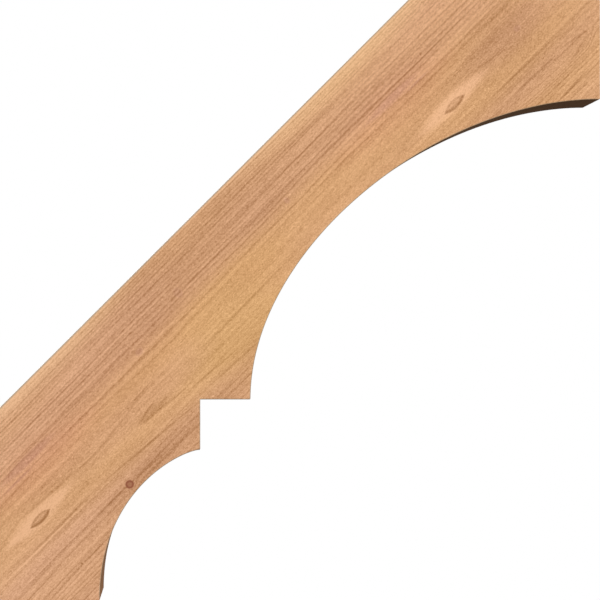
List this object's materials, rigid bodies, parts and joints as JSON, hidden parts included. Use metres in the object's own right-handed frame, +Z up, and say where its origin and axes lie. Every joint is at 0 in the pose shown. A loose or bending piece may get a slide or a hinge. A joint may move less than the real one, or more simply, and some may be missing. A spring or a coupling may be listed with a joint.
{
  "type": "wooden brace",
  "caption": "Straight-backed wooden brace, set at 45 degrees between a wall and a soffit, with a large cove, a square step and a small cove sawn along its lower edge.",
  "frame": {"origin": "centre of the plumb face that bears on the wall", "axes": "+X straight out from the wall, +Z up, +Y through the timber's thickness, away from the face that the picture shows"},
  "size_m": [0.4064, 0.0888, 0.4064],
  "materials": {
    "smooth_cedar": "planed and sanded smooth, unfinished western red cedar"
  },
  "bodies": {
    "root": {"wooden_brace": "smooth_cedar"}
  },
  "joints": []
}
